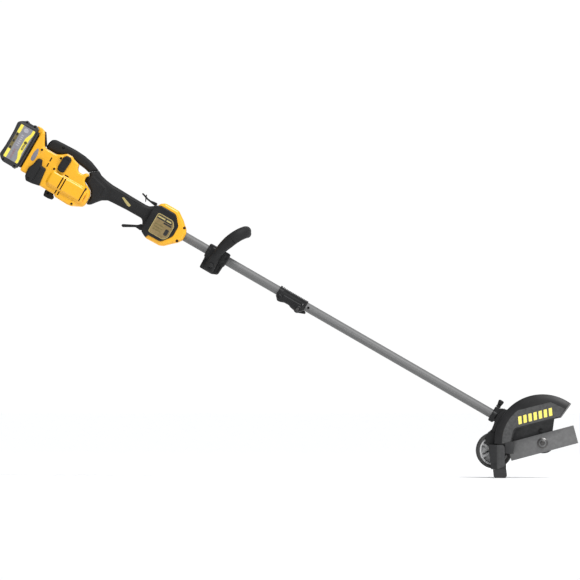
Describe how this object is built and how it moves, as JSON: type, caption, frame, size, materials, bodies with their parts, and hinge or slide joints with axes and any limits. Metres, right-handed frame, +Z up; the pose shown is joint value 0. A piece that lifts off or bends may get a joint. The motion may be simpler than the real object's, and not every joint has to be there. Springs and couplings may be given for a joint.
{
  "type": "lawn edger",
  "caption": "Battery lawn edger with rear motor housing, in-line grip and trigger, two-piece shaft, loop handle and a guarded vertical blade with a depth wheel.",
  "frame": {"origin": "middle of the main grip, on the shaft axis", "axes": "+X forward, level with the ground; +Y to the left; +Z up; the shaft drops 30 degrees forward as in use"},
  "size_m": [1.5947, 0.1454, 0.9838],
  "materials": {
    "yellow_housing": "moulded satin",
    "black_housing": "fine moulded texture",
    "black_rubber": "soft overmould",
    "battery_plastic": "moulded texture",
    "guard_plastic": "moulded texture",
    "tube_paint": "satin powder coat",
    "blade_steel": "ground flat",
    "bright_steel": "turned",
    "gear_case_metal": "black paint on a casting",
    "wheel_plastic": "moulded",
    "wheel_tread": "solid tyre",
    "copper_windings": "enamelled wire on laminations",
    "board_green": "solder mask",
    "cell_wrap": "shrink wrap"
  },
  "bodies": {
    "powerhead": {"housing_left": "yellow_housing", "housing_right": "yellow_housing", "battery_rail": "black_housing", "motor_stator": "copper_windings", "control_board": "board_green", "top_handle": "black_rubber", "grip_left": "black_rubber", "grip_right": "black_rubber", "trigger_switch": "black_housing", "hub_left": "yellow_housing", "hub_right": "yellow_housing", "hub_panel_left": "black_housing", "hub_panel_right": "black_housing", "rear_bumper": "black_rubber", "foot_bumper": "black_rubber", "side_bumper_left": "black_rubber", "side_bumper_right": "black_rubber", "upper_tube": "tube_paint", "coupler_left": "black_housing", "coupler_right": "black_housing"},
    "battery": {"battery_case": "battery_plastic", "battery_cover": "battery_plastic", "cell_pack": "cell_wrap"},
    "gauge_button": {"battery_gauge_button": "black_housing"},
    "battery_release": {"battery_release_button": "black_housing"},
    "motor": {"motor_rotor": "bright_steel", "cooling_fan": "black_housing"},
    "upper_drive": {"shaft_gear": "bright_steel", "upper_drive_shaft": "bright_steel"},
    "trigger": {"trigger": "black_housing"},
    "lock_off": {"lock_off_lever": "black_housing"},
    "aux_handle": {"handle_clamp_left": "black_housing", "handle_clamp_right": "black_housing", "aux_handle_loop": "black_housing", "handle_bolt": "bright_steel"},
    "handle_knob": {"handle_knob": "black_housing"},
    "coupler_knob": {"coupler_knob": "black_housing"},
    "coupler_button": {"coupler_button": "bright_steel"},
    "attachment": {"lower_tube": "tube_paint", "shaft_bush": "black_housing", "gear_case_far": "gear_case_metal", "gear_case_near": "gear_case_metal", "spindle_bearing": "bright_steel", "guard": "guard_plastic", "skirt": "guard_plastic", "guard_clamp": "black_housing"},
    "lower_drive": {"lower_drive_shaft": "bright_steel"},
    "clamp_knob": {"clamp_knob": "black_housing"},
    "cutter": {"bevel_gear": "bright_steel", "spindle": "bright_steel", "inner_flange": "bright_steel", "edger_blade": "blade_steel", "blade_washer": "bright_steel", "blade_nut": "bright_steel"},
    "wheel_arm": {"wheel_arm": "gear_case_metal", "wheel_axle": "bright_steel"},
    "wheel": {"wheel_tyre": "wheel_tread", "wheel_hub": "wheel_plastic"},
    "depth_knob": {"depth_knob": "black_housing"},
    "flap": {"flap": "black_rubber"}
  },
  "joints": [
    {"name": "battery_slide", "type": "slide", "parent": "powerhead", "child": "battery", "axis": [-0.5, 0, -0.866], "range_m": [0, 0.11]},
    {"name": "gauge_press", "type": "slide", "parent": "battery", "child": "gauge_button", "axis": [0, 1, 0], "range_m": [0, 0.001], "stiffness_N_per_m": 400},
    {"name": "battery_release_press", "type": "slide", "parent": "battery", "child": "battery_release", "axis": [0.5, 0, 0.866], "range_m": [0, 0.003], "stiffness_N_per_m": 800},
    {"name": "blade_spin", "type": "hinge", "parent": "attachment", "child": "cutter", "pos_m": [1.17572, -0.0385, -0.6788], "axis": [0, 1, 0], "continuous": true},
    {"name": "lower_shaft_spin", "type": "hinge", "parent": "attachment", "child": "lower_drive", "pos_m": [0.50316, 0, -0.2905], "axis": [0.866, 0, -0.5], "continuous": true},
    {"name": "upper_shaft_spin", "type": "hinge", "parent": "powerhead", "child": "upper_drive", "pos_m": [0, 0, 0], "axis": [0.866, 0, -0.5], "continuous": true},
    {"name": "motor_spin", "type": "hinge", "parent": "powerhead", "child": "motor", "pos_m": [-0.11676, 0, 0.01776], "axis": [0.866, 0, -0.5], "continuous": true},
    {"name": "trigger_squeeze", "type": "hinge", "parent": "powerhead", "child": "trigger", "pos_m": [0.07107, 0, -0.08491], "axis": [0, 1, 0], "range_deg": [0, 22], "stiffness_Nm_per_rad": 0.3},
    {"name": "lock_off_press", "type": "hinge", "parent": "powerhead", "child": "lock_off", "pos_m": [0.10807, 0, -0.02082], "axis": [0, -1, 0], "range_deg": [0, 12], "stiffness_Nm_per_rad": 0.3},
    {"name": "handle_slide", "type": "slide", "parent": "powerhead", "child": "aux_handle", "axis": [0.866, 0, -0.5], "range_m": [-0.06, 0.13]},
    {"name": "handle_knob_turn", "type": "hinge", "parent": "aux_handle", "child": "handle_knob", "pos_m": [0.26149, 0.05, -0.18908], "axis": [0, 1, 0], "continuous": true},
    {"name": "coupler_knob_turn", "type": "hinge", "parent": "powerhead", "child": "coupler_knob", "pos_m": [0.49997, 0.02, -0.31002], "axis": [0, 1, 0], "continuous": true},
    {"name": "coupler_button_press", "type": "slide", "parent": "powerhead", "child": "coupler_button", "axis": [0, 1, 0], "range_m": [0, 0.0015], "stiffness_N_per_m": 400},
    {"name": "attachment_slide", "type": "slide", "parent": "powerhead", "child": "attachment", "axis": [0.866, 0, -0.5], "range_m": [0, 0.06]},
    {"name": "clamp_knob_turn", "type": "hinge", "parent": "attachment", "child": "clamp_knob", "pos_m": [1.05403, 0, -0.58037], "axis": [0.5, 0, 0.866], "continuous": true},
    {"name": "wheel_depth", "type": "hinge", "parent": "attachment", "child": "wheel_arm", "pos_m": [1.17572, -0.0185, -0.6788], "axis": [0, 1, 0], "range_deg": [-12, 8]},
    {"name": "wheel_spin", "type": "hinge", "parent": "wheel_arm", "child": "wheel", "pos_m": [1.04322, 0, -0.6993], "axis": [0, 1, 0], "continuous": true},
    {"name": "depth_knob_turn", "type": "hinge", "parent": "attachment", "child": "depth_knob", "pos_m": [1.11372, -0.0165, -0.6788], "axis": [0, 1, 0], "continuous": true},
    {"name": "flap_swing", "type": "hinge", "parent": "attachment", "child": "flap", "pos_m": [1.05772, -0.0595, -0.7518], "axis": [1, 0, 0], "range_deg": [-20, 20], "stiffness_Nm_per_rad": 0.05}
  ],
  "couplings": [
    {"joint": "lower_shaft_spin", "follows": "blade_spin", "ratio": -1.5},
    {"joint": "upper_shaft_spin", "follows": "blade_spin", "ratio": -1.5},
    {"joint": "motor_spin", "follows": "blade_spin", "ratio": 3}
  ]
}
